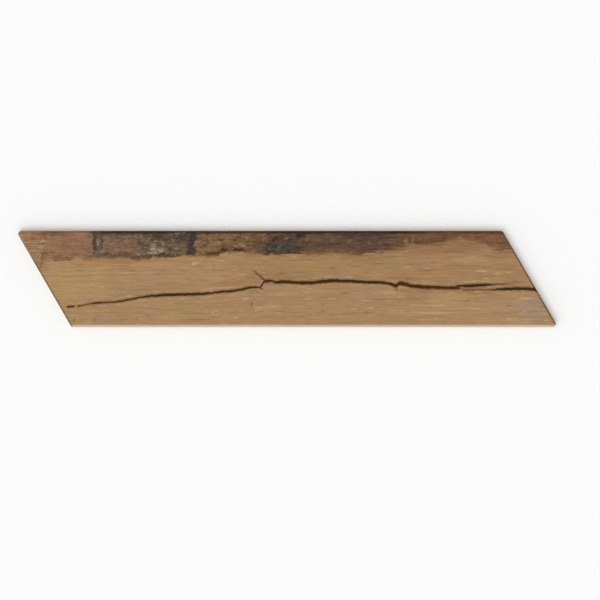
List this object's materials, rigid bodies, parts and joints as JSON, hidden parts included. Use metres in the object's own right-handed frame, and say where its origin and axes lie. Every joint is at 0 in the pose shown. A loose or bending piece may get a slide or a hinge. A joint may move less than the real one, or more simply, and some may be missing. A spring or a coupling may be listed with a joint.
{
  "type": "chevron wall tile",
  "caption": "Long parallelogram wall tile with slanted ends for chevron laying: wood-look printed face, rounded arris and a ribbed keying back.",
  "frame": {"origin": "middle of the tile's back, on the plane of its keying ribs", "axes": "+X along the long sides, +Y across the width to the side with the weathered print, +Z out of the face"},
  "size_m": [0.4476, 0.08, 0.0095],
  "materials": {
    "chevron_tile": "matte"
  },
  "bodies": {
    "root": {"chevron_tile": "chevron_tile"}
  },
  "joints": []
}
